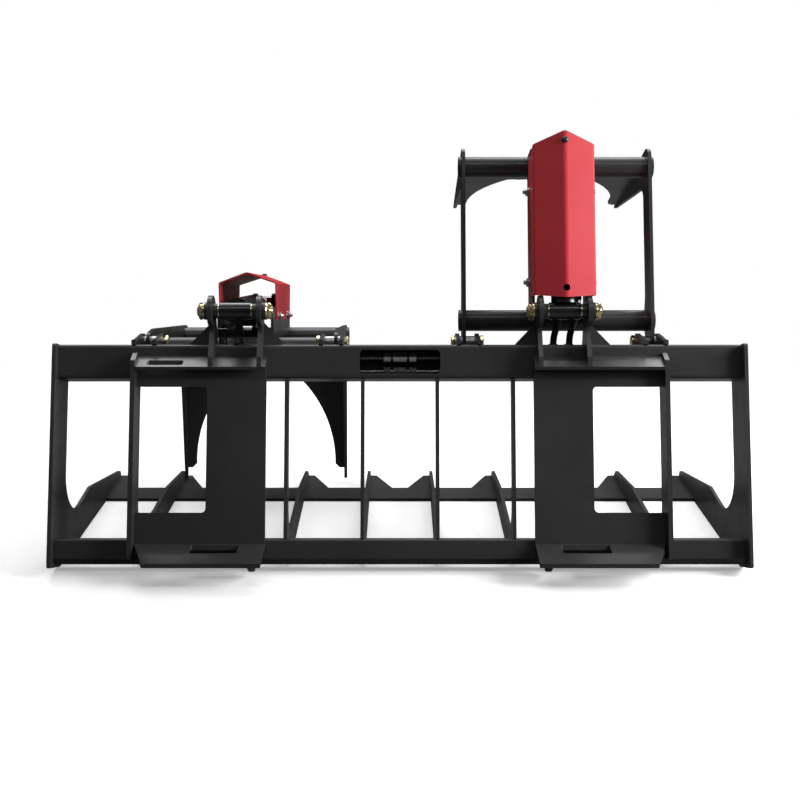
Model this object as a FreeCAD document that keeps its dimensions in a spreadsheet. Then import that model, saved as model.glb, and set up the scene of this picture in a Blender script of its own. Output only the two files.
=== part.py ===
import FreeCAD, Part
import math
import os
import Sketcher
from types import SimpleNamespace

# Skeleton grapple: a raked back frame with eight tines on a cutting edge, and two clamping
# lids, each worked by its own hydraulic cylinder. Millimetres, +X right, +Y forward, +Z up.
V = FreeCAD.Vector
doc = FreeCAD.newDocument("skeleton_grapple")

DIMENSIONS = {
    # back frame
    "overall_width": 1524.0, "side_plate_thickness": 8.0, "back_rake": 20.8, "rear_corner_lift": 26.3,
    "back_height": 490.0, "side_plate_depth": 100.0, "side_tip_reach": 640.0, "side_tip_height": 26.0,
    "side_knee_reach": 347.0, "side_knee_height": 85.0, "side_crook": 78.0, "side_crook_radius": 80.0,
    "beam_size": 76.0, "beam_wall": 8.0, "beam_corner": 8.0, "frame_setback": 22.0,
    "window_half_width": 88.8, "window_drop": 12.4, "window_height": 54.6,
    "lower_beam_top": 63.0, "lower_beam_bottom": 7.0, "lower_beam_depth": 51.0,
    "lower_beam_wall": 6.0, "lower_beam_chamfer": 13.0,
    # tines and cutting edge
    "tine_thickness": 8.0, "tine_depth": 28.0, "tine_height": 60.0, "tine_crook_radius": 57.0,
    "tine_shoulder": 416.0, "tine_heel": 112.0,
    "tine_nose_reach": 616.0, "tine_nose_height": 31.0, "tine_tip_reach": 640.0,
    "first_tine": 82.5, "second_tine": 250.0, "third_tine": 417.0, "fourth_tine": 582.0,
    "edge_thickness": 8.0, "edge_back": 469.0, "edge_front": 548.0, "tooth_reach": 643.0,
    "tooth_tip": 19.0, "tooth_root": 62.0, "half_tooth_root": 43.0,
    # coupler
    "coupler_inner": 293.7, "coupler_outer": 577.0, "coupler_thickness": 10.0, "coupler_bottom": 52.0,
    "coupler_opening_inner": 423.0, "coupler_opening_low": 119.5, "coupler_opening_drop": 95.0,
    "lip_reach": 80.0, "lip_drop": 38.0, "lip_slot_inner": 349.0, "lip_slot_outer": 453.0,
    "lip_slot_depth": 34.0, "lip_taper": 36.0,
    "hook_thickness": 8.0, "hook_below_top": 33.5, "hook_reach": 28.0, "hook_drop": 21.0, "hook_land": 3.0,
    "hook_slot_inner": 474.0, "hook_slot_outer": 553.0,
    "gusset_thickness": 10.0, "gusset_below_top": 20.0, "gusset_bottom": 20.0, "gusset_back": 25.0,
    "foot_inner": 314.0,
    # cylinder lugs and lid ears
    "lid_centre": 360.0, "base_pin_rise": 69.0, "base_pin_setback": 7.0, "lug_gap": 96.0,
    "lug_thickness": 10.0, "lug_head_radius": 34.0, "lug_boss_radius": 19.0, "lug_boss_length": 9.0,
    "brace_reach": 48.0, "brace_height": 50.0, "brace_thickness": 8.0,
    "pivot_rise": 17.0, "pivot_reach": 112.0, "ear_radius": 20.0, "ear_thickness": 9.0,
    "ear_inner": 180.0, "ear_outer": 225.0, "ear_toe_drop": 32.0,
    "pin_diameter": 20.0, "base_pin_diameter": 25.0, "pin_clearance": 0.05, "running_gap": 0.3,
    # lids
    "lid_swing": 80.0, "arm_centre": 214.0, "arm_thickness": 8.0, "arm_half_depth": 30.0,
    "arm_length": 452.0, "claw_reach": 380.5, "claw_tip": 412.0, "claw_blunt": 6.0, "claw_back_drop": 22.0,
    "tube_diameter": 48.3, "tube_wall": 5.0,
    "near_tube_place": 52.0, "near_tube_offset": 14.0, "far_tube_place": 409.0, "tube_overhang": 7.0,
    "arch_thickness": 8.0, "arch_step": 5.0, "arch_reach": 352.0,
    "arch_apex": 118.0, "arch_apex_half": 100.0, "arch_leg_half": 186.5, "arch_bend": 212.7,
    "arch_leg_chamfer": 11.0, "arch_scallop": 2.5,
    "rod_lug_gap": 39.0, "rod_lug_thickness": 10.0, "rod_lug_radius": 26.0,
    "rod_pin_place": 425.0, "rod_pin_offset": 88.0,
    "bracket_thickness": 6.0, "bracket_near": 45.0, "bracket_far": 430.0, "bracket_low": 5.0,
    "bracket_high": 80.0, "guard_half_width": 68.0, "guard_sheet": 2.5, "guard_near": 76.0,
    "guard_far": 444.0, "guard_fold": 137.0, "guard_ridge": 161.0, "guard_skirt": 48.0,
    "guard_fold_near": 84.0, "guard_skirt_near": 96.0,
    "guard_fold_far": 420.0, "guard_skirt_far": 405.0, "near_bolt": 127.0, "far_bolt": 335.0,
    "ridge_hole": 15.0, "ridge_hole_inset": 21.0,
    "bolt_offset": 58.0, "bolt_diameter": 10.0, "bush_radius": 14.0,
    # cylinders
    "barrel_diameter": 57.0, "barrel_bore": 50.0, "barrel_length": 325.0, "barrel_floor": 34.0,
    "eye_diameter": 38.0, "eye_width": 68.0, "rod_diameter": 28.0, "rod_eye_width": 36.0,
    "gland_depth": 28.0, "gland_collar": 8.0, "piston_length": 26.0, "port_place": 47.3,
    "port_reach": 50.0, "port_block": 20.0,
    # hydraulic lines
    "hose_diameter": 15.0, "hose_reach": 52.0, "line_diameter": 12.0, "line_wall": 1.5,
    "upper_line_drop": 26.4, "lower_line_drop": 58.4, "inner_hose": 18.0, "outer_hose": 17.0,
    "union_diameter": 19.0, "union_nut": 15.0, "union_body": 30.0, "union_gap": 6.0,
    "elbow_size": 18.0, "grommet_rim": 3.0,
}

sheet = doc.addObject("Spreadsheet::Sheet", "Sizes")
for row, (alias, number) in enumerate(DIMENSIONS.items(), start=1):
    sheet.set(f"A{row}", alias)
    sheet.set(f"B{row}", str(number))
    sheet.setAlias(f"B{row}", alias)
doc.recompute()


# A size is a number together with the sheet expression that it comes from.
class Size:
    def __init__(self, value, text):
        self.value = value
        self.text = text

    def __add__(self, other):
        other = as_size(other)
        return Size(self.value + other.value, f"({self.text} + {other.text})")

    def __sub__(self, other):
        other = as_size(other)
        return Size(self.value - other.value, f"({self.text} - {other.text})")

    def __mul__(self, other):
        other = as_size(other)
        return Size(self.value * other.value, f"({self.text} * {other.text})")

    def __truediv__(self, other):
        other = as_size(other)
        return Size(self.value / other.value, f"({self.text} / {other.text})")

    def __radd__(self, other):
        return as_size(other) + self

    def __rsub__(self, other):
        return as_size(other) - self

    def __rmul__(self, other):
        return as_size(other) * self

    def __neg__(self):
        return 0.0 - self


def as_size(number):
    return number if isinstance(number, Size) else Size(float(number), f"({float(number)})")


def sine(angle):
    angle = as_size(angle)
    return Size(math.sin(math.radians(angle.value)), f"sin({angle.text})")


def cosine(angle):
    angle = as_size(angle)
    return Size(math.cos(math.radians(angle.value)), f"cos({angle.text})")


def between(low, high, share):
    return low + (high - low) * share


size = SimpleNamespace(**{alias: Size(float(sheet.get(alias)), f"Sizes.{alias}") for alias in DIMENSIONS})


# Sketches: an outline is a list of points (u, v) or (u, v, corner radius), each tied to the sheet.
def origin_plane(body, role):
    return [feature for feature in body.Origin.OriginFeatures if feature.Role == role][0]


def pin_point(sketch, geometry, position, point):
    for kind, number in (("DistanceX", point[0]), ("DistanceY", point[1])):
        index = sketch.addConstraint(Sketcher.Constraint(kind, -1, 1, geometry, position, number.value))
        sketch.setExpression(f"Constraints[{index}]", number.text)


def draw_outline(sketch, outline):
    corners = [[as_size(number) for number in corner] for corner in outline]
    places = [V(corner[0].value, corner[1].value, 0) for corner in corners]
    count = len(corners)
    entries, exits, centres = [], [], []
    for index, corner in enumerate(corners):
        here = places[index]
        back = (places[index - 1] - here).normalize()
        ahead = (places[(index + 1) % count] - here).normalize()
        if len(corner) < 3:
            entries.append(here)
            exits.append(here)
            centres.append(None)
            continue
        half_angle = back.getAngle(ahead) / 2
        run = corner[2].value / math.tan(half_angle)
        entries.append(here + back * run)
        exits.append(here + ahead * run)
        bisector = (back + ahead).normalize()
        centres.append(here + bisector * (corner[2].value / math.sin(half_angle)))
    lines = []
    for index in range(count):
        following = (index + 1) % count
        lines.append(sketch.addGeometry(Part.LineSegment(exits[index], entries[following])))
    for index, corner in enumerate(corners):
        before, after = lines[index - 1], lines[index]
        if centres[index] is None:
            sketch.addConstraint(Sketcher.Constraint("Coincident", before, 2, after, 1))
            pin_point(sketch, after, 1, corner)
            continue
        centre = centres[index]
        first = (entries[index] - centre)
        last = (exits[index] - centre)
        start = math.atan2(first.y, first.x)
        end = math.atan2(last.y, last.x)
        left_turn = first.cross(last).z > 0
        if not left_turn:
            start, end = end, start
        circle = Part.Circle(centre, V(0, 0, 1), corner[2].value)
        arc = sketch.addGeometry(Part.ArcOfCircle(circle, start, end))
        sketch.addConstraint(Sketcher.Constraint("Tangent", before, 2, arc, 1 if left_turn else 2))
        sketch.addConstraint(Sketcher.Constraint("Tangent", arc, 2 if left_turn else 1, after, 1))
        vertex = sketch.addGeometry(Part.Point(places[index]), True)
        pin_point(sketch, vertex, 1, corner)
        sketch.addConstraint(Sketcher.Constraint("PointOnObject", vertex, 1, before))
        sketch.addConstraint(Sketcher.Constraint("PointOnObject", vertex, 1, after))
        radius = sketch.addConstraint(Sketcher.Constraint("Radius", arc, corner[2].value))
        sketch.setExpression(f"Constraints[{radius}]", corner[2].text)


def draw_circle(sketch, circle):
    u, v, radius = (as_size(number) for number in circle)
    ring = sketch.addGeometry(Part.Circle(V(u.value, v.value, 0), V(0, 0, 1), radius.value))
    pin_point(sketch, ring, 3, (u, v))
    index = sketch.addConstraint(Sketcher.Constraint("Radius", ring, radius.value))
    sketch.setExpression(f"Constraints[{index}]", radius.text)


def make_sketch(body, role, outlines=(), circles=(), level=0.0):
    sketch = body.newObject("Sketcher::SketchObject", "outline")
    sketch.AttachmentSupport = [(origin_plane(body, role), "")]
    sketch.MapMode = "FlatFace"
    level = as_size(level)
    sketch.AttachmentOffset = FreeCAD.Placement(V(0, 0, level.value), FreeCAD.Rotation())
    sketch.setExpression("AttachmentOffset.Base.z", level.text)
    for outline in outlines:
        draw_outline(sketch, outline)
    for circle in circles:
        draw_circle(sketch, circle)
    return sketch


def add_pad(body, sketch, length, backwards=False):
    pad = body.newObject("PartDesign::Pad", "pad")
    pad.Profile = sketch
    pad.Reversed = backwards
    pad.setExpression("Length", as_size(length).text)
    return pad


def add_pocket(body, sketch, length, backwards=False):
    pocket = body.newObject("PartDesign::Pocket", "pocket")
    pocket.Profile = sketch
    pocket.Reversed = backwards
    pocket.setExpression("Length", as_size(length).text)
    return pocket


def make_body(label, frame, x=0.0):
    body = doc.addObject("PartDesign::Body", label)
    body.Label = label
    body.AllowCompound = True
    place(body, frame, x)
    return body


# Frames: each is the place of its origin in the object and its turn about the X axis.
def place(piece, frame, x=0.0):
    x = as_size(x)
    y, z, turn = (as_size(number) for number in frame)
    place_now = V(x.value, y.value, z.value)
    piece.Placement = FreeCAD.Placement(place_now, FreeCAD.Rotation(V(1, 0, 0), turn.value or 1e-6))
    piece.setExpression("Placement.Base.x", x.text)
    piece.setExpression("Placement.Base.y", y.text)
    piece.setExpression("Placement.Base.z", z.text)
    if turn.value:
        piece.setExpression("Placement.Rotation.Angle", turn.text)


# A plate stands on the YZ plane of its frame, from x_low to x_low + thickness.
def plate(label, frame, x_low, thickness, outlines, holes=(), discs=()):
    body = make_body(label, frame, x_low)
    outlines = list(outlines)
    add_pad(body, make_sketch(body, "YZ_Plane", outlines[:1]), thickness)
    for disc in discs:
        add_pad(body, make_sketch(body, "YZ_Plane", circles=[disc]), thickness)
    if outlines[1:] or holes:
        cut = make_sketch(body, "YZ_Plane", outlines[1:], holes)
        add_pocket(body, cut, thickness, backwards=True)
    return body


# A turned piece lies along X: a disc, or a ring when it has a bore.
def turned(label, frame, x_low, length, centre, radius, bore=None):
    body = make_body(label, frame, x_low)
    circles = [(*centre, radius)] + ([(*centre, bore)] if bore is not None else [])
    add_pad(body, make_sketch(body, "YZ_Plane", circles=circles), length)
    return body


def hexagon(centre, across):
    reach = across / (2 * cosine(30.0))
    return [(centre[0] + reach * cosine(60.0 * k), centre[1] + reach * sine(60.0 * k)) for k in range(6)]


def nut(label, frame, x_low, length, centre, across):
    return plate(label, frame, x_low, length, [hexagon(centre, across)])


def group(label, pieces):
    bundle = doc.addObject("Part::Compound", label)
    bundle.Label = label
    bundle.Links = pieces
    for piece in pieces:
        piece.Label = f"{label}_{piece.Name}"
    return bundle


def spanning(side, low, high):
    """The lower x of a piece between low and high on the right side, or mirrored on the left."""
    return low if side > 0 else -high


def polar(centre, radius, angle):
    return (centre[0] + radius * cosine(angle), centre[1] + radius * sine(angle))


nodes = []
half_width = size.overall_width / 2
inner_half = half_width - size.side_plate_thickness
rake_sine, rake_cosine = sine(size.back_rake), cosine(size.back_rake)


def raked(height, depth):
    """Ground place (y, z) of a point on the raked back: height up the back, depth forward of it."""
    forward = height * rake_sine + depth * rake_cosine
    upward = size.rear_corner_lift + height * rake_cosine - depth * rake_sine
    return forward, upward


# Heights up the back that hang from the top of the beam.
window_high = size.back_height - size.window_drop
window_low = window_high - size.window_height
coupler_opening_high = size.back_height - size.coupler_opening_drop
hook_height = size.back_height - size.hook_below_top
gusset_top = size.back_height - size.gusset_below_top
base_pin_height = size.back_height + size.base_pin_rise
pivot_height = size.back_height + size.pivot_rise
ear_toe = size.back_height - size.ear_toe_drop
upper_line = size.back_height - size.upper_line_drop
lower_line = size.back_height - size.lower_line_drop
arch_place = size.far_tube_place + size.arch_step

# The lids turn about this axis, and the cylinders between the base pin and the rod pin.
pivot_y, pivot_z = raked(pivot_height, size.pivot_reach)
base_y, base_z = raked(base_pin_height, -size.base_pin_setback)
lid_turns = {"right": -size.back_rake, "left": -(size.back_rake + size.lid_swing)}


def lid_point(turn, along, offset):
    forward = pivot_y - along * sine(turn) + offset * cosine(turn)
    upward = pivot_z + along * cosine(turn) + offset * sine(turn)
    return forward, upward


coupler_rear = size.frame_setback - size.coupler_thickness
lip_end_y = raked(size.coupler_bottom - size.lip_drop, coupler_rear - size.lip_reach)[0]
front_y = lid_point(lid_turns["right"], size.claw_tip + size.claw_blunt, size.claw_reach)[0]
centre_y = (lip_end_y + front_y) / 2

ground = (-centre_y, 0.0, 0.0)
back = (-centre_y, size.rear_corner_lift, -size.back_rake)


def cylinder_frame(turn):
    rod_y, rod_z = lid_point(turn, size.rod_pin_place, -size.rod_pin_offset)
    across, upward = rod_y - base_y, rod_z - base_z
    lean = Size(math.degrees(math.atan2(across.value, upward.value)),
                f"(atan2({across.text}; {upward.text}) / (1 deg))")
    reach = Size(math.hypot(across.value, upward.value),
                 f"sqrt({across.text} ^ 2 + {upward.text} ^ 2)")
    return (base_y - centre_y, base_z, -lean), reach


# Side plates: one bent profile each, upright bar and floor blade.
heel_y = size.rear_corner_lift * rake_cosine / rake_sine
top_y, top_z = raked(size.back_height, 0.0)
side_profile = [
    (*raked(0.0, 0.0), 8.0),
    (heel_y, 0.0, 10.0),
    (size.side_tip_reach, 0.0, 3.0),
    (size.side_tip_reach - 10.0, size.side_tip_height, 6.0),
    (size.side_knee_reach, size.side_knee_height, 30.0),
    (*raked(size.side_crook, size.side_plate_depth), size.side_crook_radius),
    (*raked(size.back_height, size.side_plate_depth), size.beam_corner),
    (top_y, top_z, size.beam_corner),
]
for name, side in (("left", -1), ("right", 1)):
    x_low = spanning(side, inner_half, half_width)
    nodes.append(plate(f"side_plate_{name}", ground, x_low, size.side_plate_thickness, [side_profile]))

# Top beam: square tube between the side plates, with a rear window and hose holes in its top.
beam_low = size.back_height - size.beam_size
beam_front = size.frame_setback + size.beam_size


def tube_section(low, high, rear, front, corner):
    return [(rear, low, corner), (front, low, corner), (front, high, corner), (rear, high, corner)]


wall = size.beam_wall
top_beam = make_body("top_beam", back, -inner_half)
beam_outer = tube_section(beam_low, size.back_height, size.frame_setback, beam_front, size.beam_corner)
beam_inner = tube_section(beam_low + wall, size.back_height - wall, size.frame_setback + wall,
                          beam_front - wall, size.beam_corner / 2)
add_pad(top_beam, make_sketch(top_beam, "YZ_Plane", [beam_outer, beam_inner]), 2 * inner_half)
window = tube_section(window_low, window_high, inner_half - size.window_half_width,
                      inner_half + size.window_half_width, 8.0)
window_sketch = make_sketch(top_beam, "XZ_Plane", [window], level=-size.frame_setback)
add_pocket(top_beam, window_sketch, wall)
port_spacing = size.inner_hose + size.outer_hose
hose_offsets = {"left": (as_size(0.0), port_spacing), "right": (-size.inner_hose, size.outer_hose)}
hose_places = [-(size.lid_centre + offset) for offset in hose_offsets["left"]]
hose_places += [size.lid_centre + offset for offset in hose_offsets["right"]]
grommet_radius = size.hose_diameter / 2 + size.grommet_rim
hose_holes = [(inner_half + x, size.hose_reach, grommet_radius) for x in hose_places]
hole_sketch = make_sketch(top_beam, "XY_Plane", circles=hose_holes, level=size.back_height)
add_pocket(top_beam, hole_sketch, wall)
nodes.append(top_beam)

# Bottom beam: tube with its lower rear corner cut off, so that the heel clears the ground.
lower_front = size.frame_setback + size.lower_beam_depth
cut = size.lower_beam_chamfer
thin = size.lower_beam_wall
bottom_beam = make_body("bottom_beam", back, -inner_half)
lower_outer = [
    (size.frame_setback, size.lower_beam_top, 6.0),
    (size.frame_setback, size.lower_beam_bottom + cut),
    (size.frame_setback + cut, size.lower_beam_bottom),
    (lower_front, size.lower_beam_bottom),
    (lower_front, size.lower_beam_top, 6.0),
]
lower_inner = [
    (size.frame_setback + thin, size.lower_beam_top - thin),
    (size.frame_setback + thin, size.lower_beam_bottom + cut + thin / 2),
    (size.frame_setback + cut + thin / 2, size.lower_beam_bottom + thin),
    (lower_front - thin, size.lower_beam_bottom + thin),
    (lower_front - thin, size.lower_beam_top - thin),
]
add_pad(bottom_beam, make_sketch(bottom_beam, "YZ_Plane", [lower_outer, lower_inner]), 2 * inner_half)
nodes.append(bottom_beam)

# Tines: each is cut from plate, notched over the bottom beam and stepped onto the cutting edge.
tine_front = size.frame_setback + size.tine_depth
front_y_at_floor, front_z = raked(0.0, tine_front)
crook_height = (size.tine_height - front_z) / rake_cosine
tine_profile = [
    raked(beam_low, size.frame_setback),
    raked(size.lower_beam_top, size.frame_setback),
    raked(size.lower_beam_top, lower_front),
    raked(size.lower_beam_bottom, lower_front),
    (size.tine_heel, 0.0),
    (size.edge_back, 0.0),
    (size.edge_back, size.edge_thickness),
    (size.tine_tip_reach, size.edge_thickness),
    (size.tine_nose_reach, size.tine_nose_height, 12.0),
    (size.tine_shoulder, size.tine_height, 25.0),
    (raked(crook_height, tine_front)[0], size.tine_height, size.tine_crook_radius),
    raked(beam_low, tine_front),
]
tine_places = (("inner", size.first_tine), ("second", size.second_tine),
               ("third", size.third_tine), ("outer", size.fourth_tine))
for name, centre in tine_places:
    pair = []
    for side in (-1, 1):
        x_low = side * centre - size.tine_thickness / 2
        pair.append(plate("tine", ground, x_low, size.tine_thickness, [tine_profile]))
    nodes.append(group(f"tines_{name}", pair))

# Cutting edge: one toothed plate under the tines. Each tooth slopes on the side of the middle
# only, and half teeth end it at the side plates.
half_tine = size.tine_thickness / 2
edge_half = [(inner_half, size.edge_back), (inner_half, size.tooth_reach),
             (inner_half - size.tooth_tip, size.tooth_reach),
             (inner_half - size.half_tooth_root, size.edge_front)]
for name, centre in tine_places[::-1]:
    edge_half += [(centre + half_tine, size.edge_front), (centre + half_tine, size.tooth_reach),
                  (centre - size.tooth_tip, size.tooth_reach), (centre - size.tooth_root, size.edge_front)]
edge_profile = edge_half + [(-x, y) for x, y in edge_half[::-1]]
edge = make_body("cutting_edge", ground)
add_pad(edge, make_sketch(edge, "XY_Plane", [edge_profile[::-1]]), size.edge_thickness)
nodes.append(edge)

# Coupler: on each side a C-shaped plate with a bent lip, a hook bar above, a gusset and a foot.
lip_length = math.hypot(size.lip_reach.value, size.lip_drop.value)
lip_run = Size(lip_length, f"sqrt({size.lip_reach.text} ^ 2 + {size.lip_drop.text} ^ 2)")
lip_in = size.coupler_thickness * size.lip_drop / lip_run
lip_down = size.coupler_thickness * size.lip_reach / lip_run
lip_slope = size.lip_drop / size.lip_reach
lip_tail = (coupler_rear - size.lip_reach, size.coupler_bottom - size.lip_drop)
lip_under = (lip_tail[0] + lip_in, lip_tail[1] - lip_down)
lip_bend = lip_under[1] + (size.frame_setback - lip_under[0]) * lip_slope
hook_run = Size(math.hypot(size.hook_reach.value, size.hook_drop.value),
                f"sqrt({size.hook_reach.text} ^ 2 + {size.hook_drop.text} ^ 2)")
hook_slope = size.hook_drop / size.hook_reach
hook_in = size.hook_thickness * size.hook_drop / hook_run
hook_down = size.hook_thickness * size.hook_reach / hook_run
hook_tail = (coupler_rear - size.hook_reach, hook_height - size.hook_drop)
hook_under = (hook_tail[0] + hook_in, hook_tail[1] - hook_down)
hook_land_rear = coupler_rear - size.hook_land
hook_root_low = hook_under[1] + (hook_land_rear - hook_under[0]) * hook_slope
hook_profile = [
    (size.frame_setback, hook_height + size.coupler_thickness * hook_slope),
    hook_tail,
    hook_under,
    (hook_land_rear, hook_root_low),
    (size.frame_setback, hook_root_low),
]
lip_profile = [
    (coupler_rear, size.coupler_bottom),
    lip_tail,
    lip_under,
    (size.frame_setback, lip_bend),
    (size.frame_setback, size.coupler_bottom),
]
gusset_profile = [
    (coupler_rear - size.gusset_back, size.gusset_bottom),
    (size.frame_setback, size.gusset_bottom),
    (size.frame_setback, gusset_top),
    (coupler_rear, gusset_top, 6.0),
    (coupler_rear - size.gusset_back, gusset_top - 20.0, 6.0),
]
foot_rear = lip_under[0] + 6.0
foot_profile = [
    (size.frame_setback, lip_bend),
    (foot_rear, lip_under[1] + 6.0 * lip_slope),
    (coupler_rear - 24.0, -6.0, 4.0),
    (size.frame_setback, -6.0, 4.0),
]
for name, side in (("left", -1), ("right", 1)):
    low = spanning(side, size.coupler_inner, size.coupler_outer)
    width = size.coupler_outer - size.coupler_inner
    outer = size.coupler_outer * side
    inner = size.coupler_inner * side
    opening = size.coupler_opening_inner * side
    face = [
        (inner, size.coupler_bottom),
        (outer, size.coupler_bottom),
        (outer, size.coupler_opening_low),
        (opening, size.coupler_opening_low, 10.0),
        (opening, coupler_opening_high, 10.0),
        (outer, coupler_opening_high),
        (outer, hook_root_low),
        (inner, hook_root_low),
    ]
    panel = make_body(f"coupler_plate_{name}", back)
    face_sketch = make_sketch(panel, "XZ_Plane", [face if side > 0 else face[::-1]], level=-coupler_rear)
    add_pad(panel, face_sketch, size.coupler_thickness, backwards=True)
    lip_sketch = make_sketch(panel, "YZ_Plane", [lip_profile], level=low)
    add_pad(panel, lip_sketch, width)
    slot_front = coupler_rear - 4.0
    slot = tube_section(slot_front - size.lip_slot_depth, slot_front, size.lip_slot_inner * side,
                        size.lip_slot_outer * side, 4.0)
    taper = [
        (outer, coupler_rear),
        (outer, lip_tail[0] - 1.0),
        (outer - side * size.lip_taper, lip_tail[0] - 1.0),
    ]
    cuts = [outline if side > 0 else outline[::-1] for outline in (slot, taper[::-1])]
    add_pocket(panel, make_sketch(panel, "XY_Plane", cuts, level=size.coupler_bottom), size.coupler_bottom)
    nodes.append(panel)
    hook = make_body(f"coupler_hook_{name}", back)
    add_pad(hook, make_sketch(hook, "YZ_Plane", [hook_profile], level=low), width)
    if side < 0:
        hook_slot = tube_section(coupler_rear - 22.0, coupler_rear - 6.0, -size.hook_slot_outer,
                                 -size.hook_slot_inner, 4.0)
        slot_top = hook_height + size.hook_thickness
        add_pocket(hook, make_sketch(hook, "XY_Plane", [hook_slot], level=slot_top),
                   2 * (size.hook_drop + size.hook_thickness))
    nodes.append(hook)
    gusset_low = spanning(side, size.coupler_outer, size.coupler_outer + size.gusset_thickness)
    nodes.append(plate(f"coupler_gusset_{name}", back, gusset_low, size.gusset_thickness, [gusset_profile]))
    foot_low = spanning(side, size.foot_inner, size.foot_inner + size.coupler_thickness)
    nodes.append(plate(f"coupler_foot_{name}", back, foot_low, size.coupler_thickness, [foot_profile]))

# Cylinder lugs: two plates a side with a base pin boss each and a triangular brace to the beam.
base_pin = (-size.base_pin_setback, base_pin_height)
pin_hole = size.base_pin_diameter / 2 + size.pin_clearance
lug_front = (size.frame_setback + 38.0, size.back_height)
lug_profile = [
    (hook_tail[0], hook_height + 1.0),
    hook_tail,
    (size.frame_setback, hook_height + size.coupler_thickness * hook_slope),
    (size.frame_setback, size.back_height),
    lug_front,
    polar(base_pin, size.lug_head_radius, 24.0),
    base_pin,
    (base_pin[0] + 10.0, base_pin[1] - 43.0),
]
ear_profile = [
    (size.frame_setback, size.back_height),
    (beam_front, size.back_height),
    (beam_front, ear_toe),
    (size.pivot_reach + size.ear_radius, ear_toe, 14.0),
    (size.pivot_reach + size.ear_radius, pivot_height),
    (size.pivot_reach, pivot_height),
    polar((size.pivot_reach, pivot_height), size.ear_radius, 109.4),
    (size.frame_setback + 10.0, size.back_height + 10.0),
    (size.frame_setback, size.back_height + 10.0),
]
pivot = (size.pivot_reach, pivot_height)
pivot_hole = size.pin_diameter / 2 + size.pin_clearance
for name, side in (("left", -1), ("right", 1)):
    middle = side * size.lid_centre
    pieces = []
    for flank in (-1, 1):
        near = size.lug_gap / 2
        far = near + size.lug_thickness
        lug_low = middle + spanning(flank, near, far)
        lug_head = [(*base_pin, size.lug_head_radius)]
        pieces.append(plate("lug", back, lug_low, size.lug_thickness, [lug_profile],
                            [(*base_pin, pin_hole)], lug_head))
        boss_low = middle + spanning(flank, far, far + size.lug_boss_length)
        pieces.append(turned("boss", back, boss_low, size.lug_boss_length, base_pin,
                             size.lug_boss_radius, pin_hole))
        brace = make_body("brace", back, middle)
        root = flank * far
        brace_outline = [(root, size.back_height), (flank * (far + size.brace_reach), size.back_height),
                         (root, size.back_height + size.brace_height)]
        brace_sketch = make_sketch(brace, "XZ_Plane", [brace_outline if flank > 0 else brace_outline[::-1]],
                                   level=-(size.frame_setback + 7.0))
        add_pad(brace, brace_sketch, size.brace_thickness, backwards=True)
        pieces.append(brace)
    nodes.append(group(f"cylinder_lugs_{name}", pieces))
    ears = []
    for low in (-size.ear_outer - size.ear_thickness, -size.ear_inner - size.ear_thickness,
                size.ear_inner, size.ear_outer):
        ears.append(plate("ear", back, middle + low, size.ear_thickness, [ear_profile],
                          [(*pivot, pivot_hole)], [(*pivot, size.ear_radius)]))
    nodes.append(group(f"lid_ears_{name}", ears))

    # Pins: a base pin through both lugs and the cylinder eye, and a short pivot pin at each arm.
    boss_face = size.lug_gap / 2 + size.lug_thickness + size.lug_boss_length
    pin_end = boss_face + 16.0
    pin_radius = size.base_pin_diameter / 2
    pin_pieces = [turned("shank", back, middle - pin_end, 2 * pin_end, base_pin, pin_radius)]
    for flank in (-1, 1):
        nut_body = make_body("nut", back, middle + spanning(flank, boss_face, boss_face + 12.0))
        nut_outline = make_sketch(nut_body, "YZ_Plane", [hexagon(base_pin, as_size(34.0))],
                                  [(*base_pin, pin_radius)])
        add_pad(nut_body, nut_outline, 12.0)
        pin_pieces.append(nut_body)
        collar_low = spanning(flank, size.eye_width / 2 + size.running_gap, size.lug_gap / 2)
        collar_length = size.lug_gap / 2 - size.eye_width / 2 - size.running_gap
        pin_pieces.append(turned("collar", back, middle + collar_low, collar_length, base_pin,
                                 pin_radius + 4.0, pin_hole))
    nodes.append(group(f"base_pin_{name}", pin_pieces))
    pivot_pieces = []
    for flank in (-1, 1):
        inner_end = size.ear_inner - 3.0
        outer_end = size.ear_outer + size.ear_thickness + 1.0
        shank_low = spanning(flank, inner_end, outer_end)
        pivot_pieces.append(turned("shank", back, middle + shank_low, outer_end - inner_end, pivot,
                                   size.pin_diameter / 2))
        for end, outward in ((inner_end, -1), (outer_end, 1)):
            head_low = spanning(flank, *((end - 8.0, end) if outward < 0 else (end, end + 8.0)))
            pivot_pieces.append(nut("head", back, middle + head_low, 8.0, pivot, as_size(28.0)))
    nodes.append(group(f"pivot_pins_{name}", pivot_pieces))

# Steel lines inside the top beam join the two cylinders through unions behind the window.
line_radius = size.line_diameter / 2
elbow_half = size.elbow_size / 2
lines, fittings = [], []
nut_start = size.union_body / 2 + size.union_gap
union_parts = ((-(nut_start + size.union_nut), size.union_nut), (-(size.union_body / 2), size.union_body),
               (nut_start, size.union_nut))
for index, height in enumerate((upper_line, lower_line)):
    left_end = elbow_half - size.lid_centre - hose_offsets["left"][index]
    right_end = size.lid_centre + hose_offsets["right"][index] - elbow_half
    lines.append(turned("line", back, left_end, right_end - left_end, (size.hose_reach, height), line_radius,
                        line_radius - size.line_wall))
    for start, length in union_parts:
        union = make_body("union", back, start)
        union_hexagon = hexagon((size.hose_reach, height), size.union_diameter)
        union_outline = make_sketch(union, "YZ_Plane", [union_hexagon],
                                    [(size.hose_reach, height, line_radius + size.pin_clearance)])
        add_pad(union, union_outline, length)
        fittings.append(union)
    for elbow_low in (left_end - size.elbow_size, right_end):
        block = tube_section(height - elbow_half, height + elbow_half, size.hose_reach - elbow_half,
                             size.hose_reach + elbow_half, 2.0)
        fittings.append(plate("elbow", back, elbow_low, size.elbow_size, [block]))
nodes.append(group("beam_lines", lines))
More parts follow.
